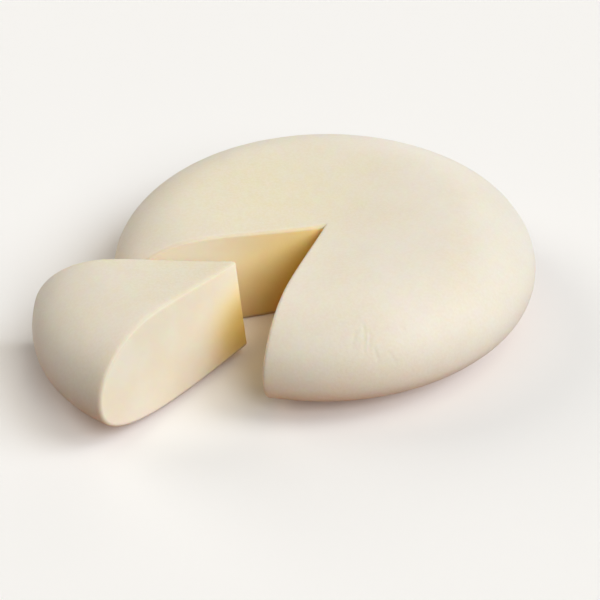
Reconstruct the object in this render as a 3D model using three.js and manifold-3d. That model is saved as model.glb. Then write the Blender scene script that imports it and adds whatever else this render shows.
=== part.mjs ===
// A round sheep's milk cheese with one wedge cut out and drawn aside.
// Millimetres, +Z up. The origin is on the round's axis, in the plane that it rests on.

import * as THREE from "three";
import { mergeVertices } from "three/addons/utils/BufferGeometryUtils.js";
import Module from "manifold-3d";

// The whole round, before it was cut
const wheelRadius = 140;
const rimHeight = 28.6; // the side is widest this far up
const shoulderRadius = 86.8; // the highest ring of the top
const shoulderHeight = 67.7;
const crownHeight = 62.4; // the middle of the top has sunk a little
const baseRadius = 53.4; // the small flat spot that it rests on

// How far each curve of the outline runs on straight from its ends
const bellyOut = 48.3;
const bellyDown = 23.5;
const sideUp = 19.7;
const shoulderOut = 31.5;
const shoulderIn = 26.0;
const crownOut = 28.1;

// The two straight cuts: they meet in one upright edge near the middle
const cutEdge = new THREE.Vector3(0.5, -13.1, 0);
const sectorAngle = 56.7;
const sectorHeading = 224.4; // of the sector's middle, anticlockwise from +X, degrees

// How the wedge lies: past the flat spot its underside curves up, so its rind end sinks
const wedgeEdge = new THREE.Vector3(-47.7, -62.2, 0);
const wedgeHeading = 203.9;
const wedgeSink = 3.2; // degrees
const wedgeLean = 3.1; // degrees, towards its far side

// How finely the round is faceted
const turnSteps = 84;
const curveSteps = 9;

const wasm = await Module();
wasm.setup();

// A curve that leaves one end and meets the other along the given handles.
function bend(start, startHandle, end, endHandle) {
  return new THREE.CubicBezierCurve(
    start,
    start.clone().add(startHandle),
    end.clone().add(endHandle),
    end,
  );
}

// The round's outline in (radius, height), from the middle of its base to the middle of its top.
function outlinePoints() {
  const across = (length) => new THREE.Vector2(length, 0);
  const up = (length) => new THREE.Vector2(0, length);
  const base = new THREE.Vector2(baseRadius, 0);
  const rim = new THREE.Vector2(wheelRadius, rimHeight);
  const shoulder = new THREE.Vector2(shoulderRadius, shoulderHeight);
  const crown = new THREE.Vector2(0, crownHeight);
  const belly = bend(base, across(bellyOut), rim, up(-bellyDown));
  const side = bend(rim, up(sideUp), shoulder, across(shoulderOut));
  const top = bend(shoulder, across(-shoulderIn), crown, across(crownOut));
  return [
    new THREE.Vector2(0, 0),
    ...belly.getPoints(curveSteps),
    ...side.getPoints(curveSteps).slice(1),
    ...top.getPoints(curveSteps).slice(1),
  ];
}

// A solid from a closed geometry: shared corners are merged, and triangles with no area left out.
function toSolid(geometry) {
  geometry.deleteAttribute("normal");
  geometry.deleteAttribute("uv");
  const merged = mergeVertices(geometry, 1e-3);
  const corners = merged.index.array;
  const kept = [];
  for (let i = 0; i < corners.length; i += 3) {
    const [a, b, c] = corners.slice(i, i + 3);
    if (a !== b && b !== c && c !== a) kept.push(a, b, c);
  }
  return new wasm.Manifold(
    new wasm.Mesh({
      numProp: 3,
      vertProperties: merged.attributes.position.array,
      triVerts: new Uint32Array(kept),
    }),
  );
}

function toGeometry(solid) {
  const mesh = solid.getMesh();
  const geometry = new THREE.BufferGeometry();
  geometry.setAttribute("position", new THREE.BufferAttribute(mesh.vertProperties, 3));
  geometry.setIndex(new THREE.BufferAttribute(mesh.triVerts, 1));
  geometry.computeVertexNormals();
  return geometry;
}

function wholeRound() {
  const lathe = new THREE.LatheGeometry(outlinePoints(), turnSteps);
  lathe.rotateX(Math.PI / 2);
  return toSolid(lathe);
}

// The space between the two cuts, reaching past the round on every side but its edge.
function cutSector() {
  const reach = 2 * wheelRadius;
  const spill = 10;
  const half = THREE.MathUtils.degToRad(sectorAngle / 2);
  const outline = new THREE.Shape();
  outline.moveTo(0, 0);
  outline.lineTo(reach * Math.cos(half), -reach * Math.sin(half));
  outline.lineTo(reach * Math.cos(half), reach * Math.sin(half));
  outline.closePath();
  const prism = new THREE.ExtrudeGeometry(outline, {
    depth: shoulderHeight + 2 * spill,
    bevelEnabled: false,
  });
  prism.translate(0, 0, -spill);
  prism.rotateZ(THREE.MathUtils.degToRad(sectorHeading));
  prism.translate(cutEdge.x, cutEdge.y, 0);
  return toSolid(prism);
}

function cheeseMaterial() {
  return new THREE.MeshStandardMaterial({ color: 0xe9dcc1, roughness: 0.55, metalness: 0 });
}

// The big piece stays where the round stood, with the open notch towards the front left.
function cheeseWheel(round, sector) {
  const wheel = new THREE.Mesh(toGeometry(round.subtract(sector)), cheeseMaterial());
  wheel.name = "cheese_wheel";
  return wheel;
}

// The wedge is made with its edge at its origin and its middle along +X, then laid down.
function cheeseWedge(round, sector) {
  const geometry = toGeometry(round.intersect(sector));
  geometry.translate(-cutEdge.x, -cutEdge.y, 0);
  geometry.rotateZ(-THREE.MathUtils.degToRad(sectorHeading));
  const wedge = new THREE.Mesh(geometry, cheeseMaterial());
  wedge.name = "cheese_wedge";
  const [lean, sink, heading] = [wedgeLean, wedgeSink, wedgeHeading].map(THREE.MathUtils.degToRad);
  wedge.rotation.set(lean, sink, heading, "ZYX");
  wedge.position.copy(wedgeEdge);
  const lowest = new THREE.Box3().setFromObject(wedge, true).min.z;
  wedge.position.z = -lowest;
  return wedge;
}

const round = wholeRound();
const sector = cutSector();
const group = new THREE.Group();
group.add(cheeseWheel(round, sector));
group.add(cheeseWedge(round, sector));

export default group;
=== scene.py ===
import bmesh
import bpy
import math
import numpy as np
from mathutils import Matrix, Vector


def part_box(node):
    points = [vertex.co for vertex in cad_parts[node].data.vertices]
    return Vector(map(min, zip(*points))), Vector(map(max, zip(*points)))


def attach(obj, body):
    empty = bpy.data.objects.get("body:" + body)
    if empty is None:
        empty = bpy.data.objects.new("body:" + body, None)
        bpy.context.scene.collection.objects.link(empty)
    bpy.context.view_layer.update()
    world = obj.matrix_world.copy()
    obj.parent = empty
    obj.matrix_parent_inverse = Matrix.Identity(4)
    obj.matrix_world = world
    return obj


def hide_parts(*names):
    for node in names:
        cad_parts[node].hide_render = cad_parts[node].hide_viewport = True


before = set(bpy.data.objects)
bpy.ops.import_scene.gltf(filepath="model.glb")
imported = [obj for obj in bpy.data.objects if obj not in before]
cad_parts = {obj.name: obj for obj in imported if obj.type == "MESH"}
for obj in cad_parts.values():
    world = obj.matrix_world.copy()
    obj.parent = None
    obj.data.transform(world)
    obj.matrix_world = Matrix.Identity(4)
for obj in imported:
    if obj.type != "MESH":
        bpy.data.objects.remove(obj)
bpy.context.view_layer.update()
print("frame loaded")

mm = 0.001

# The round as it was before the knife, in mm. Its width and height come from the frame.
wheelLow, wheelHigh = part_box("cheese_wheel")
wheelRadius = (wheelHigh[0] - wheelLow[0]) / 2 / mm
shoulderHeight = wheelHigh[2] / mm
roundShape = {
    "rimHeight": 28.6,  # widest this far up
    "shoulderRadius": 86.8,  # highest ring of the top
    "crownHeight": 62.4,  # sunk middle of the top
    "baseRadius": 53.4,  # small flat spot underneath
    "bellyOut": 48.3,  # the rest say how far each curve runs on straight from its ends
    "bellyDown": 23.5,
    "sideUp": 19.7,
    "shoulderOut": 31.5,
    "shoulderIn": 26.0,
    "crownOut": 28.1,
}


def bezier(start, startHandle, endHandle, end, steps=500):
    t = np.linspace(0, 1, steps)[:, None]
    p = [np.array(v, float) for v in (start, startHandle, endHandle, end)]
    return (1 - t) ** 3 * p[0] + 3 * (1 - t) ** 2 * t * p[1] + 3 * (1 - t) * t**2 * p[2] + t**3 * p[3]


def outlineHeights():
    # Height over the base against how far in from the rim a place is, above and below the rim
    s = roundShape
    rim = (wheelRadius, s["rimHeight"])
    base = (s["baseRadius"], 0)
    shoulder = (s["shoulderRadius"], shoulderHeight)
    crown = (0, s["crownHeight"])
    belly = bezier(base, (base[0] + s["bellyOut"], 0), (rim[0], rim[1] - s["bellyDown"]), rim)
    overShoulder = (shoulder[0] + s["shoulderOut"], shoulder[1])
    side = bezier(rim, (rim[0], rim[1] + s["sideUp"]), overShoulder, shoulder)
    top = bezier(shoulder, (shoulder[0] - s["shoulderIn"], shoulder[1]), (s["crownOut"], crown[1]), crown)
    upper = np.vstack([side, top[1:]])
    lower = np.vstack([belly[::-1], [(0, 0)]])
    return (inFromRim(upper[:, 0]), upper[:, 1]), (inFromRim(lower[:, 0]), lower[:, 1])


def inFromRim(radius):
    # 0 at the rim and 1 on the axis, and fine steps near the rim, where the side stands upright
    return np.sqrt(np.clip(1 - radius / wheelRadius, 0, 1))


upperOutline, lowerOutline = outlineHeights()


def heightAt(places, outline):
    return np.interp(inFromRim(np.hypot(places[..., 0], places[..., 1])), *outline)


def direction(degrees):
    return np.array([math.cos(math.radians(degrees)), math.sin(math.radians(degrees))])


cuts = {
    "edge": (0.5, -13.1),  # where the two cuts meet, mm
    "farSide": 196.05,  # direction of each cut, degrees anticlockwise from +X
    "nearSide": 252.75,
    "edgeRadius": 2.2,  # how round the knife and the soft cheese leave a cut edge, mm
    "cornerEase": 20,  # how far from the notch's corner the mesh makes room for it, mm
    "pasteFrom": 0.3,  # the paste shows from this share of the way round a cut edge
}
meshDetail = {
    "rings": 96,  # from the cut edge out to the rim
    "rayStep": 0.85,  # degrees from one ray to the next
    "fineStep": 0.3,  # the same where the cloth left its folds
    "edgeRows": 6,  # round a cut edge
    "faceRows": 30,  # down a cut face
    "cornerSteps": 4,  # round the wedge's upright edge
}
# Marks that folds of the pressing cloth left on the side of the round
clothFolds = {
    "lines": [  # each from one place to another, as degrees around the axis and height in mm
        ((278.2, 56.5), (276.7, 50.8)),
        ((280.9, 58.5), (279.8, 48.5)),
        ((282.2, 55.8), (281.2, 49.1)),
        ((282.5, 49.2), (283.1, 43.8)),
        ((286.1, 46.7), (287.3, 41.2)),
        ((290.6, 55.8), (291.6, 54.6)),
    ],
    "steps": 8,
    "wobble": 0.2,  # degrees that a line strays to either side
    "wobbleTurn": 2.1,  # radians of that to-and-fro from one step to the next
}


class Shell:
    # Points in mm, with how far each is onto a cut (0 to 1) and how deep under the rind (mm)
    def __init__(self):
        self.points, self.onCut, self.depth, self.faces = [], [], [], []

    def add(self, points, onCut=0.0, depth=0.0):
        points = np.atleast_2d(points)
        first = len(self.points)
        self.points.extend(points)
        self.onCut.extend(np.broadcast_to(onCut, len(points)))
        self.depth.extend(np.broadcast_to(depth, len(points)))
        return list(range(first, first + len(points)))

    def bridge(self, rowA, rowB):
        for a, b, c, d in zip(rowA, rowA[1:], rowB[1:], rowB):
            corners = list(dict.fromkeys((a, b, c, d)))
            if len(corners) > 2:
                self.faces.append(corners)


class CutPlane:
    # One upright cut, by the foot that it starts from, the way it runs and the way it faces
    def __init__(self, foot, along, facing):
        self.foot = foot
        self.along = direction(along)
        self.facing = direction(facing)

    def flatten(self, points):
        # How far along the cut, and how high
        return np.column_stack([(points[:, :2] - self.foot) @ self.along, points[:, 2]])

    def place(self, flat, lift):
        # From the cut's own plane back into the round, lifted off the plane
        return np.column_stack(
            [self.foot + np.outer(flat[:, 0], self.along) + lift * self.facing, flat[:, 1]]
        )


def rayAngles(fromAngle, toAngle):
    # Evenly spaced, but closer together where the cloth's folds are, if this piece has them
    folded = [degrees for line in clothFolds["lines"] for degrees, height in line]
    stops = [fromAngle, toAngle]
    if fromAngle < min(folded) and max(folded) < toAngle:
        stops[1:1] = [min(folded) - 1, max(folded) + 1]
    angles = [fromAngle]
    for i, (start, end) in enumerate(zip(stops, stops[1:])):
        step = meshDetail["fineStep"] if i == 1 else meshDetail["rayStep"]
        angles.extend(np.linspace(start, end, round((end - start) / step) + 1)[1:])
    return angles


def rindSheets(shell, foot, rays):
    # The rind, as rays that run out from the foot over the top to the rim, and back underneath
    reach = np.sin(np.linspace(0, math.pi / 2, meshDetail["rings"] + 1))
    topPole = shell.add([*foot, heightAt(foot, upperOutline)])[0]
    basePole = shell.add([*foot, heightAt(foot, lowerOutline)])[0]
    loops = []
    for degrees in rays:
        out = direction(degrees)
        along = foot @ out
        length = -along + math.sqrt(along**2 - foot @ foot + wheelRadius**2)
        places = foot + np.outer(reach * length, out)
        above = np.column_stack([places, heightAt(places, upperOutline)])
        below = np.column_stack([places, heightAt(places, lowerOutline)])
        top = [topPole, *shell.add(above[1:])]
        base = [basePole, *shell.add(below[1:-1])]
        loops.append(top + base[::-1])
    for loopA, loopB in zip(loops, loops[1:]):
        shell.bridge(loopA, loopB)
    return loops


def roundedCorner(shell, pole, up, foot, spokes):
    # One end of the upright edge, row by row from the rind onto the cuts
    radius, rows = cuts["edgeRadius"], meshDetail["edgeRows"]
    middle = shell.points[pole][2] - up * radius
    found = [[pole] * len(spokes)]
    for k in range(1, rows + 1):
        turn = k / rows * math.pi / 2
        height = middle + up * radius * math.cos(turn)
        row = [[*(foot + spoke * math.sin(turn)), height] for spoke in spokes]
        found.append(shell.add(row, k / rows))
        shell.bridge(found[-2], found[-1])
    return found[1:]


def downTheFace():
    # How far down a cut each of its inner rows lies: closest together near the rind
    return ((1 - np.cos(np.linspace(0, math.pi, meshDetail["faceRows"] + 1))) / 2)[1:-1]


def uprightColumns(shell, topRow, baseRow):
    # The upright edge between its two ends, as columns of points that the cuts start from
    columns = []
    for top, base in zip(topRow, baseRow):
        high, low = shell.points[top], shell.points[base]
        inner = high + np.outer(downTheFace(), low - high)
        depth = np.minimum(high[2] - inner[:, 2], inner[:, 2] - low[2]) + cuts["edgeRadius"]
        columns.append([top, *shell.add(inner, 1, depth), base])
    for columnA, columnB in zip(columns, columns[1:]):
        shell.bridge(columnA, columnB)
    return columns


def outwardNormals(outline):
    # At right angles to the outline in the cut's plane, and upright at its two ends
    run = np.gradient(outline, axis=0)
    normal = np.column_stack([-run[:, 1], run[:, 0]])
    normal[0], normal[-1] = (0, 1), (0, -1)
    return normal / np.linalg.norm(normal, axis=1)[:, None]


def depthUnderRind(flat, outline):
    # The shortest way from each place on a cut to the cut's outline
    a, b = outline[:-1], outline[1:]
    ab = b - a
    ap = flat[:, None] - a[None]
    t = np.clip((ap * ab).sum(-1) / (ab * ab).sum(-1), 0, 1)
    return np.linalg.norm(ap - t[..., None] * ab, axis=-1).min(1)


def roundCutEdge(shell, cut, loop, normal, centre, slide, topEnds, baseEnds):
    # The rounded edge of a cut, row by row from the rind onto the cut
    radius, rows = cuts["edgeRadius"], meshDetail["edgeRows"]
    row = loop
    for k in range(1, rows + 1):
        turn = k / rows * math.pi / 2
        ring = centre + radius * math.cos(turn) * normal
        ring[:, 0] += slide * math.sin(turn)
        made = shell.add(cut.place(ring[1:-1], radius * math.sin(turn)), k / rows)
        lastRow, row = row, [topEnds[k - 1], *made, baseEnds[k - 1]]
        shell.bridge(lastRow, row)
    return row


def fillCut(shell, cut, row, centre, column, outline):
    # The flat of a cut, as upright columns of points from the upright edge out to the rim
    rim = len(row) // 2
    for i in range(1, rim):
        inner = centre[i] + np.outer(downTheFace(), centre[-1 - i] - centre[i])
        made = shell.add(cut.place(inner, cuts["edgeRadius"]), 1, depthUnderRind(inner, outline))
        lastColumn, column = column, [row[i], *made, row[-1 - i]]
        shell.bridge(lastColumn, column)
    shell.bridge(column, [row[rim]] * len(column))


def cheeseShell(fromAngle, toAngle):
    # One piece of the round: all of it between two upright cuts that meet at the cut edge
    radius = cuts["edgeRadius"]
    edge = np.array(cuts["edge"])
    facing = (fromAngle - 90, toAngle + 90)
    foot = edge + np.linalg.solve([direction(degrees) for degrees in facing], [-radius, -radius])
    hollow = toAngle - fromAngle > 180  # the notch's corner, not the wedge's edge
    if hollow:
        spokes = [edge - foot]
    else:
        fan = np.linspace(facing[0], facing[1] - 360, meshDetail["cornerSteps"] + 1)
        spokes = [radius * direction(degrees) for degrees in fan]

    shell = Shell()
    loops = rindSheets(shell, foot, rayAngles(fromAngle, toAngle))
    topCorner = roundedCorner(shell, loops[0][0], 1, foot, spokes)
    baseCorner = roundedCorner(shell, loops[0][-1], -1, foot, spokes)
    columns = uprightColumns(shell, topCorner[-1], baseCorner[-1])
    for side, along in ((0, fromAngle), (-1, toAngle)):
        cut = CutPlane(foot, along, facing[side])
        outline = cut.flatten(np.array([shell.points[i] for i in loops[side]]))
        normal = outwardNormals(outline)
        centre = outline - radius * normal
        # In a hollow corner the flats of the cuts begin a little way out from the foot
        slide = np.zeros(len(outline))
        if hollow:
            slide = (edge - foot) @ cut.along * np.clip(1 - centre[:, 0] / cuts["cornerEase"], 0, 1)
        topEnds, baseEnds = ([row[side] for row in corner] for corner in (topCorner, baseCorner))
        row = roundCutEdge(shell, cut, loops[side], normal, centre, slide, topEnds, baseEnds)
        centre[:, 0] += slide
        fillCut(shell, cut, row, centre, columns[side], outline)
    return shell


# Where the cheese takes its deeper colours, in mm in the round. The gold at its heart is partly the paste's
# own colour and partly painted shade, the deep golden shade of the notch between the cuts.
deepTonesAndShade = {
    "heartHeight": 15,  # up the upright edge to the heart of the cheese
    "goldAndShadeReach": {"wheel": 112, "wedge": 51},  # from the heart, where its gold, partly painted shade, has faded
    "warmPlace": (-35, 20),  # the rind is drawn warmer around this place on its top
    "warmReach": 120,
}


def cheesePiece(name, shell, goldAndShadeReach):
    points = np.array(shell.points)
    heart = (*cuts["edge"], deepTonesAndShade["heartHeight"])
    fromHeart = np.linalg.norm(points - heart, axis=1)
    fromWarm = np.linalg.norm(points[:, :2] - deepTonesAndShade["warmPlace"], axis=1)
    mesh = bpy.data.meshes.new(name)
    mesh.from_pydata((points * mm).tolist(), [], shell.faces)
    for label, values in (
        ("onCut", shell.onCut),
        ("rindDepth", shell.depth),
        ("gold", np.clip(1 - fromHeart / goldAndShadeReach, 0, 1)),
        ("warm", np.clip(1 - fromWarm / deepTonesAndShade["warmReach"], 0, 1)),
    ):
        mesh.attributes.new(label, "FLOAT", "POINT").data.foreach_set("value", np.array(values, np.float32))
    work = bmesh.new()
    work.from_mesh(mesh)
    bmesh.ops.recalc_face_normals(work, faces=work.faces)
    work.to_mesh(mesh)
    work.free()
    piece = bpy.data.objects.new(name, mesh)
    bpy.context.scene.collection.objects.link(piece)
    return piece


def clothFoldLines():
    # The folds as lines of edges that lie on the side of the round
    inward, heights = upperOutline
    steps = clothFolds["steps"]
    points, edges = [], []
    for (startAngle, startHeight), (endAngle, endHeight) in clothFolds["lines"]:
        for k in range(steps + 1):
            stray = clothFolds["wobble"] * math.sin(clothFolds["wobbleTurn"] * k + startAngle)
            out = direction(startAngle + (endAngle - startAngle) * k / steps + stray)
            height = startHeight + (endHeight - startHeight) * k / steps
            nearest = np.searchsorted(heights[: np.argmax(heights)], height)
            radius = wheelRadius * (1 - inward[nearest] ** 2)
            points.append((*(radius * out * mm), height * mm))
            if k:
                edges.append((len(points) - 2, len(points) - 1))
    mesh = bpy.data.meshes.new("cloth folds")
    mesh.from_pydata(points, edges, [])
    return bpy.data.objects.new("cloth folds", mesh)


def addNode(tree, kind, settings, inputs):
    node = tree.nodes.new(kind)
    for label, value in settings.items():
        setattr(node, label, value)
    for label, value in inputs.items():
        socket = node.inputs[label]
        if isinstance(value, bpy.types.NodeSocket):
            tree.links.new(value, socket)
        else:
            socket.default_value = value
    return node


def hexColour(text):
    # From an sRGB hex value to linear light
    channels = [int(text[i : i + 2], 16) / 255 for i in (0, 2, 4)]
    return (*(c / 12.92 if c < 0.04045 else ((c + 0.055) / 1.055) ** 2.4 for c in channels), 1)


def emptyMaterial(name):
    material = bpy.data.materials.new(name)
    material.use_nodes = True
    material.node_tree.nodes.clear()
    return material, material.node_tree


rindFinish = {
    "ivory": "efe7d8",
    "straw": "ebe1cb",
    "chalk": "f5f0e4",
    "warm": "e9deb6",  # warmer tone around that place on the top
    "edge": "eeedea",  # painted shade: how much darker the rounded edge of a cut is drawn to hold down its highlight, as a share of its colour
    "cloudWidth": 48,  # mm from one cloud of colour to the next
    "cloudShare": 0.8,  # how strongly each pattern shows, 0 to 1
    "warmShare": 0.8,
    "mottleWidth": 9,
    "mottleShare": 0.3,
    "brushWidth": 4.5,  # mm from one brushed streak to the next
    "brushLength": 40,
    "brushShare": 0.22,
    "speckWidth": 1.8,  # real specks are near 0.6 mm: drawn coarser so that they show
    "speckShare": 0.25,
    "grainWidth": 1.6,  # the cloth's print is near 1 mm: drawn coarser so that it shows
    "grainHeight": 0.024,
    "roughness": (0.46, 0.6),
}
pasteFinish = {
    "cream": "f4eedb",
    "butter": "f2e8d0",
    "gold": "fcdd88",  # at the heart: partly the paste's own colour, partly painted shade deep in the notch
    "cloudWidth": 26,
    "cloudShare": 0.8,
    "goldFrom": 0.1,  # as shares of the way in to the heart
    "goldFull": 0.85,
    "bandDepth": 2.6,  # mm of drier, paler cheese under the rind
    "bandFull": 0.78,
    "bandShare": 0.6,
    "crumbWidth": 1.6,  # real curd grains are near 1 mm: drawn a little coarser
    "crumbHeight": 0.02,
    "roughness": (0.4, 0.52),
}
# Light travels some millimetres through a pale cheese, red furthest
glow = {"weight": 1.0, "radius": (1.0, 0.62, 0.3), "scale": 4.0}  # scale in mm


def clouds(tree, coords, width, stretch=1):
    # A soft pattern of 0 to 1, as wide as given in mm, and stretched upwards if asked
    scaled = addNode(tree, "ShaderNodeMapping", {}, {"Vector": coords, "Scale": (1, 1, 1 / stretch)})
    noise = addNode(
        tree,
        "ShaderNodeTexNoise",
        {},
        {"Vector": scaled.outputs["Vector"], "Scale": 1 / (width * mm), "Detail": 2},
    )
    return addNode(
        tree,
        "ShaderNodeMapRange",
        {"interpolation_type": "SMOOTHSTEP"},
        {"Value": noise.outputs["Fac"], "From Min": 0.3, "From Max": 0.7},
    ).outputs["Result"]


def nearness(tree, label, start, end):
    # A soft rise from 0 to 1 between two values of one of the mesh's own attributes
    value = addNode(tree, "ShaderNodeAttribute", {"attribute_name": label}, {}).outputs["Fac"]
    return addNode(
        tree,
        "ShaderNodeMapRange",
        {"interpolation_type": "SMOOTHSTEP"},
        {"Value": value, "From Min": start, "From Max": end},
    ).outputs["Result"]


def mixTone(tree, colour, tone, pattern, share):
    # The colour, mixed with the tone where the pattern says so; one such tone, the gold at the heart, is
    # partly painted shade
    part = addNode(tree, "ShaderNodeMath", {"operation": "MULTIPLY"}, {0: pattern, 1: share}).outputs[0]
    return addNode(
        tree, "ShaderNodeMix", {"data_type": "RGBA"}, {"Factor": part, 6: colour, 7: tone}
    ).outputs[2]


def rindColour(tree, coords):
    # Broad clouds, mottles, brushed streaks and fine pale specks: a skin that dried unevenly
    f = rindFinish
    ivory, straw, chalk, warm = (hexColour(f[name]) for name in ("ivory", "straw", "chalk", "warm"))
    colour = mixTone(tree, ivory, straw, clouds(tree, coords, f["cloudWidth"]), f["cloudShare"])
    colour = mixTone(tree, colour, warm, nearness(tree, "warm", 0, 1), f["warmShare"])
    colour = mixTone(tree, colour, ivory, clouds(tree, coords, f["mottleWidth"]), f["mottleShare"])
    streaks = clouds(tree, coords, f["brushWidth"], f["brushLength"] / f["brushWidth"])
    colour = mixTone(tree, colour, straw, streaks, f["brushShare"])
    return mixTone(tree, colour, chalk, clouds(tree, coords, f["speckWidth"]), f["speckShare"])


def paintedEdgeShade(tree, colour):
    # Painted shade: the rounded edge of a cut is drawn a little darker than the cheese on both sides of it,
    # to hold down the highlight it catches
    onCut = addNode(tree, "ShaderNodeAttribute", {"attribute_name": "onCut"}, {}).outputs["Fac"]
    near = addNode(tree, "ShaderNodeMath", {"operation": "PINGPONG"}, {0: onCut, 1: 0.5}).outputs[0]
    share = addNode(tree, "ShaderNodeMath", {"operation": "MULTIPLY"}, {0: near, 1: 2}).outputs[0]
    return addNode(
        tree,
        "ShaderNodeMix",
        {"data_type": "RGBA", "blend_type": "MULTIPLY"},
        {"Factor": share, 6: colour, 7: hexColour(rindFinish["edge"])},
    ).outputs[2]


def cheeseShader(tree, colour, roughnessPattern, roughness, heightPattern, height):
    bump = addNode(
        tree, "ShaderNodeBump", {}, {"Height": heightPattern, "Distance": height * mm, "Strength": 1}
    )
    rough = addNode(
        tree,
        "ShaderNodeMapRange",
        {},
        {"Value": roughnessPattern, "To Min": roughness[0], "To Max": roughness[1]},
    )
    shader = addNode(
        tree,
        "ShaderNodeBsdfPrincipled",
        {},
        {
            "Base Color": paintedEdgeShade(tree, colour),
            "Roughness": rough.outputs["Result"],
            "Normal": bump.outputs["Normal"],
            "IOR": 1.45,
            "Subsurface Weight": glow["weight"],
            "Subsurface Radius": glow["radius"],
            "Subsurface Scale": glow["scale"] * mm,
        },
    )
    addNode(tree, "ShaderNodeOutputMaterial", {}, {"Surface": shader.outputs["BSDF"]})


def rindMaterial():
    # Dried sheep-cheese rind, pressed in a cloth and brushed smooth: satin, faintly clouded, never glossy
    f = rindFinish
    material, tree = emptyMaterial("sheep cheese rind, cloth pressed and brushed")
    coords = addNode(tree, "ShaderNodeTexCoord", {}, {}).outputs["Object"]
    mottles = clouds(tree, coords, f["mottleWidth"])
    grain = clouds(tree, coords, f["grainWidth"])
    cheeseShader(tree, rindColour(tree, coords), mottles, f["roughness"], grain, f["grainHeight"])
    return material


def pasteMaterial():
    # Pressed sheep-cheese paste, just cut: close and smooth, golden at the heart (partly painted shade deep
    # in the notch), pale and drier by the rind
    f = pasteFinish
    material, tree = emptyMaterial("sheep cheese paste, knife cut")
    coords = addNode(tree, "ShaderNodeTexCoord", {}, {}).outputs["Object"]
    cream, butter, gold = (hexColour(f[name]) for name in ("cream", "butter", "gold"))
    colour = mixTone(tree, cream, butter, clouds(tree, coords, f["cloudWidth"]), f["cloudShare"])
    # Painted shade in part: the gold near the heart stands for the deep golden shade of the notch as well as
    # the paste's own deeper colour
    colour = mixTone(tree, colour, gold, nearness(tree, "gold", f["goldFrom"], f["goldFull"]), 1)
    band = nearness(tree, "rindDepth", f["bandDepth"], f["bandFull"])
    colour = mixTone(tree, colour, rindColour(tree, coords), band, f["bandShare"])
    crumb = clouds(tree, coords, f["crumbWidth"])
    cheeseShader(tree, colour, crumb, f["roughness"], crumb, f["crumbHeight"])
    return material


relief = {
    "swellHeight": 0.45,  # mm: no hand-made round is true, and its skin rises and falls slowly
    "swellWidth": 75,
    "dentHeight": 0.09,  # shallow dents that the cloth and the shelf left
    "dentWidth": 15,
    "dragHeight": 0.05,  # faint upright lines where the knife dragged
    "dragWidth": 7,
    "foldDepth": 0.17,  # folds of the cloth
    "foldWidth": 1.7,
    "flatUpTo": 7,  # the spot that the cheese stands on stays flat
    "seed": 3,
}
dragStretch = 12  # how much longer than wide the knife's lines are


def riseAndFall(tree, given, kind, place, stretch=1):
    # A slow random wave of one kind, from minus to plus its height
    scaled = addNode(
        tree, "ShaderNodeVectorMath", {"operation": "MULTIPLY"}, {0: place, 1: (1, 1, 1 / stretch)}
    )
    scale = addNode(tree, "ShaderNodeMath", {"operation": "DIVIDE"}, {0: 1, 1: given[kind + "Width"]})
    noise = addNode(
        tree,
        "ShaderNodeTexNoise",
        {"noise_dimensions": "4D"},
        {"Vector": scaled.outputs[0], "W": given["seed"], "Scale": scale.outputs[0], "Detail": 1},
    )
    level = addNode(tree, "ShaderNodeMath", {"operation": "SUBTRACT"}, {0: noise.outputs["Fac"], 1: 0.5})
    span = addNode(tree, "ShaderNodeMath", {"operation": "MULTIPLY"}, {0: given[kind + "Height"], 1: 2})
    return addNode(
        tree, "ShaderNodeMath", {"operation": "MULTIPLY"}, {0: level.outputs[0], 1: span.outputs[0]}
    ).outputs[0]


def pressedFolds(tree, given):
    # How deep the nearest fold of the cloth pressed the rind in
    lines = addNode(tree, "GeometryNodeObjectInfo", {}, {"Object": given["clothFolds"]})
    away = addNode(
        tree, "GeometryNodeProximity", {"target_element": "EDGES"}, {0: lines.outputs["Geometry"]}
    )
    return addNode(
        tree,
        "ShaderNodeMapRange",
        {"interpolation_type": "SMOOTHSTEP"},
        {
            "Value": away.outputs["Distance"],
            "From Min": given["foldWidth"],
            "From Max": 0,
            "To Max": given["foldDepth"],
        },
    ).outputs["Result"]


def skinLift(tree, given, place, onCut):
    # How far the skin moves out: it swells everywhere, has dents and folds on the rind and the knife's
    # lines on the cuts, and fades to nothing at the flat spot
    dents = riseAndFall(tree, given, "dent", place)
    pressed = pressedFolds(tree, given)
    onRind = addNode(tree, "ShaderNodeMath", {"operation": "SUBTRACT"}, {0: dents, 1: pressed})
    drag = riseAndFall(tree, given, "drag", place, dragStretch)
    skin = addNode(tree, "ShaderNodeMix", {"data_type": "FLOAT"}, {0: onCut, 2: onRind.outputs[0], 3: drag})
    swell = riseAndFall(tree, given, "swell", place)
    whole = addNode(tree, "ShaderNodeMath", {"operation": "ADD"}, {0: swell, 1: skin.outputs[0]})
    height = addNode(tree, "ShaderNodeSeparateXYZ", {}, {0: place})
    free = addNode(
        tree,
        "ShaderNodeMapRange",
        {"interpolation_type": "SMOOTHSTEP"},
        {"Value": height.outputs["Z"], "From Min": 0, "From Max": given["flatUpTo"]},
    )
    return addNode(
        tree, "ShaderNodeMath", {"operation": "MULTIPLY"}, {0: whole.outputs[0], 1: free.outputs["Result"]}
    ).outputs[0]


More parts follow.
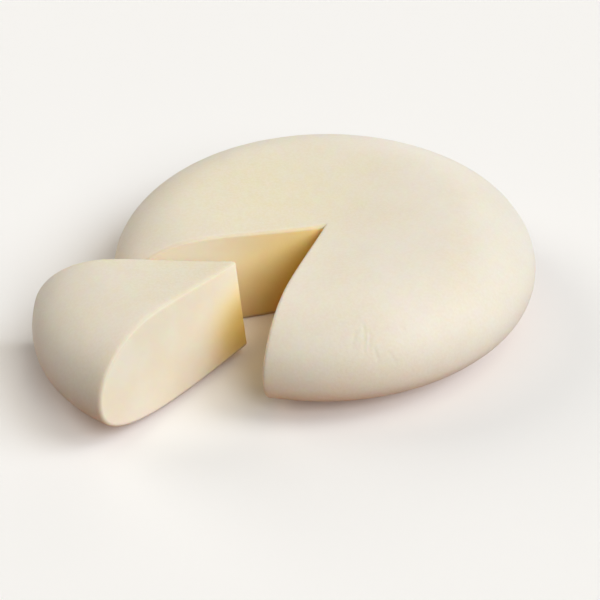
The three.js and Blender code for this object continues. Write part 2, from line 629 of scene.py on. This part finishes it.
def reliefTree(rind, paste):
    tree = bpy.data.node_groups.new("cheese relief", "GeometryNodeTree")
    tree.interface.new_socket("Geometry", in_out="INPUT", socket_type="NodeSocketGeometry")
    tree.interface.new_socket("clothFolds", in_out="INPUT", socket_type="NodeSocketObject")
    for label in relief:
        tree.interface.new_socket(label, in_out="INPUT", socket_type="NodeSocketFloat")
    tree.interface.new_socket("Geometry", in_out="OUTPUT", socket_type="NodeSocketGeometry")
    given = addNode(tree, "NodeGroupInput", {}, {}).outputs
    place = addNode(tree, "GeometryNodeInputPosition", {}, {}).outputs[0]
    normal = addNode(tree, "GeometryNodeInputNormal", {}, {}).outputs[0]
    onCut = addNode(
        tree, "GeometryNodeInputNamedAttribute", {"data_type": "FLOAT"}, {"Name": "onCut"}
    ).outputs["Attribute"]
    lift = skinLift(tree, given, place, onCut)
    offset = addNode(tree, "ShaderNodeVectorMath", {"operation": "SCALE"}, {0: normal, "Scale": lift})
    lifted = addNode(
        tree, "GeometryNodeSetPosition", {}, {"Geometry": given["Geometry"], "Offset": offset.outputs[0]}
    )
    smooth = addNode(tree, "GeometryNodeSetShadeSmooth", {}, {0: lifted.outputs[0], "Shade Smooth": True})
    realized = addNode(tree, "GeometryNodeRealizeInstances", {}, {"Geometry": smooth.outputs[0]})
    inRind = addNode(tree, "GeometryNodeSetMaterial", {}, {"Geometry": realized.outputs[0], "Material": rind})
    isPaste = addNode(
        tree, "ShaderNodeMath", {"operation": "GREATER_THAN"}, {0: onCut, 1: cuts["pasteFrom"]}
    )
    finished = addNode(
        tree,
        "GeometryNodeSetMaterial",
        {},
        {"Geometry": inRind.outputs[0], "Selection": isPaste.outputs[0], "Material": paste},
    )
    addNode(tree, "NodeGroupOutput", {}, {"Geometry": finished.outputs[0]})
    return tree


def applyRelief(piece, tree, folds):
    modifier = piece.modifiers.new("relief", "NODES")
    modifier.node_group = tree
    sockets = {item.name: item.identifier for item in tree.interface.items_tree if item.in_out == "INPUT"}
    for label, value in relief.items():
        modifier[sockets[label]] = float(value) if label == "seed" else value * mm
    modifier[sockets["clothFolds"]] = folds
    depsgraph = bpy.context.evaluated_depsgraph_get()
    piece.data = bpy.data.meshes.new_from_object(
        piece.evaluated_get(depsgraph), preserve_all_data_layers=True, depsgraph=depsgraph
    )
    piece.data.name = piece.name
    piece.modifiers.clear()
    piece.data.set_sharp_from_angle(angle=math.radians(45))  # only the notch's corner is as sharp as this


wedgeLay = {
    "edge": (-47.7, -62.2),  # the wedge's own edge now, mm
    "turn": -20.5,  # degrees, from where it was in the round
    "sink": 3.2,  # its rind end sinks onto the curved underside
    "lean": 3.1,  # and it leans towards its far side
}


def layWedge(wedge):
    # From its place in the round to where it lies now, its lowest point on the ground
    middle = (cuts["farSide"] + cuts["nearSide"]) / 2
    edge = Vector((*cuts["edge"], 0)) * mm
    wedge.data.transform(
        Matrix.Rotation(math.radians(middle + wedgeLay["turn"]), 4, "Z")
        @ Matrix.Rotation(math.radians(wedgeLay["sink"]), 4, "Y")
        @ Matrix.Rotation(math.radians(wedgeLay["lean"]), 4, "X")
        @ Matrix.Rotation(math.radians(-middle), 4, "Z")
        @ Matrix.Translation(-edge)
    )
    lowest = min(vertex.co.z for vertex in wedge.data.vertices)
    laid = Vector((*wedgeLay["edge"], 0)) * mm
    wedge.data.transform(Matrix.Translation(laid - Vector((0, 0, lowest))))


wheelShell = cheeseShell(cuts["nearSide"], cuts["farSide"] + 360)
wheel = cheesePiece("cheese_wheel_rind_and_paste", wheelShell, deepTonesAndShade["goldAndShadeReach"]["wheel"])
wedgeShell = cheeseShell(cuts["farSide"], cuts["nearSide"])
wedge = cheesePiece("cheese_wedge_rind_and_paste", wedgeShell, deepTonesAndShade["goldAndShadeReach"]["wedge"])
print("round cut into", len(wheel.data.polygons), "and", len(wedge.data.polygons), "faces")

folds = clothFoldLines()
tree = reliefTree(rindMaterial(), pasteMaterial())
for piece in (wheel, wedge):
    applyRelief(piece, tree, folds)
bpy.data.objects.remove(folds)
layWedge(wedge)
for piece, node in ((wheel, "cheese_wheel"), (wedge, "cheese_wedge")):
    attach(piece, "root")
    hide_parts(node)
print("relief and materials on, wedge laid down")

view = {
    "distance": 896,  # mm from the origin
    "looksDown": 34.5,  # degrees
    "aim": (-16.6, 0, -4.9),  # mm
    "roll": -1.46,  # degrees
    "lens": 78.84,  # mm
    "sensor": 36,
}


def addCamera():
    down = math.radians(view["looksDown"])
    place = Vector((0, -math.cos(down), math.sin(down))) * view["distance"]
    ahead = (Vector(view["aim"]) - place).normalized()
    level = ahead.cross(Vector((0, 0, 1))).normalized()
    upright = level.cross(ahead)
    roll = math.radians(view["roll"])
    right = math.cos(roll) * level + math.sin(roll) * upright
    up = math.cos(roll) * upright - math.sin(roll) * level
    camera = bpy.data.objects.new("camera", bpy.data.cameras.new("camera"))
    camera.data.lens = view["lens"]
    camera.data.sensor_width = view["sensor"]
    camera.matrix_world = Matrix.Translation(place * mm) @ Matrix((right, up, -ahead)).transposed().to_4x4()
    bpy.context.scene.collection.objects.link(camera)
    bpy.context.scene.camera = camera


studio = {
    # each light's compass heading, height and width in degrees, its strength and its colour
    "lights": {
        "front right": (303, 37, 35, 1.5, "ffffff"),
        "right": (350, 38, 35, 1.52, "ebf3ff"),
        "front left": (228, 34, 35, 0.1, "ffe2ba"),
        "left back": (148, 28, 40, 1.2, "fff9f2"),
        "high right": (0, 62, 35, 0.65, "fff4e2"),
        "back": (80, 15, 35, 0.3, "ffffff"),
    },
    "room": 0.02,  # even light from all round
    "backdrop": "f1f0ee",
    "floor": "fbfaf7",
    "floorWidth": 60,  # m
    "bounce": "b08058",  # a warm board under the cheese that only the cheese's own light sees
    "bounceWidth": 0.48,
    "bounceCentre": (-0.05, 0),
    "bounceDepth": 0.5,  # mm under the floor
    "bounceCorners": 72,
    "roughness": 0.9,
    "gloss": 0.2,
}


def addLights():
    for name, (heading, height, width, strength, colour) in studio["lights"].items():
        light = bpy.data.objects.new(name, bpy.data.lights.new(name, "SUN"))
        light.data.energy = strength
        light.data.angle = math.radians(width)
        light.data.color = hexColour(colour)[:3]
        flat = math.cos(math.radians(height)) * direction(heading)
        place = Vector((*flat, math.sin(math.radians(height))))
        light.location = place
        light.rotation_euler = (-place).to_track_quat("-Z", "Y").to_euler()
        bpy.context.scene.collection.objects.link(light)


def addStage(name, outline, colour, materialName):
    mesh = bpy.data.meshes.new(name)
    mesh.from_pydata(outline, [], [range(len(outline))])
    stage = bpy.data.objects.new(name, mesh)
    bpy.context.scene.collection.objects.link(stage)
    material, tree = emptyMaterial(materialName)
    shader = addNode(
        tree,
        "ShaderNodeBsdfPrincipled",
        {},
        {
            "Base Color": hexColour(colour),
            "Roughness": studio["roughness"],
            "Specular IOR Level": studio["gloss"],
        },
    )
    addNode(tree, "ShaderNodeOutputMaterial", {}, {"Surface": shader.outputs["BSDF"]})
    mesh.materials.append(material)
    return stage


def addFloor():
    # The eye sees a pale floor. The cheese gets its light from a warm board just under it, like the
    # wood or wicker that such a cheese stands on.
    half = studio["floorWidth"] / 2
    corners = [(-half, -half, 0), (half, -half, 0), (half, half, 0), (-half, half, 0)]
    floor = addStage("floor", corners, studio["floor"], "pale floor, matt paper")
    floor.visible_diffuse = False
    floor.visible_shadow = False
    headings = np.linspace(0, 360, studio["bounceCorners"], endpoint=False)
    flat = [studio["bounceCentre"] + direction(h) * studio["bounceWidth"] / 2 for h in headings]
    ring = [(*place, -studio["bounceDepth"] * mm) for place in flat]
    board = addStage("bounce_board", ring, studio["bounce"], "bounce board, warm matt card")
    board.visible_camera = False
    board.visible_glossy = False


def addWorld():
    # A little even light, and a pale backdrop that only the camera sees
    world = bpy.data.worlds.new("studio")
    world.use_nodes = True
    tree = world.node_tree
    seen = addNode(tree, "ShaderNodeLightPath", {}, {}).outputs["Is Camera Ray"]
    room = studio["room"]
    colour = addNode(
        tree,
        "ShaderNodeMix",
        {"data_type": "RGBA"},
        {"Factor": seen, 6: (room, room, room, 1), 7: hexColour(studio["backdrop"])},
    )
    tree.links.new(colour.outputs[2], tree.nodes["Background"].inputs["Color"])
    bpy.context.scene.world = world


addCamera()
addLights()
addFloor()
addWorld()
bpy.context.scene.view_settings.view_transform = "Standard"
bpy.context.scene.cycles.diffuse_bounces = 10  # light goes to and fro between the cuts many times
print("camera, lights and floor set")
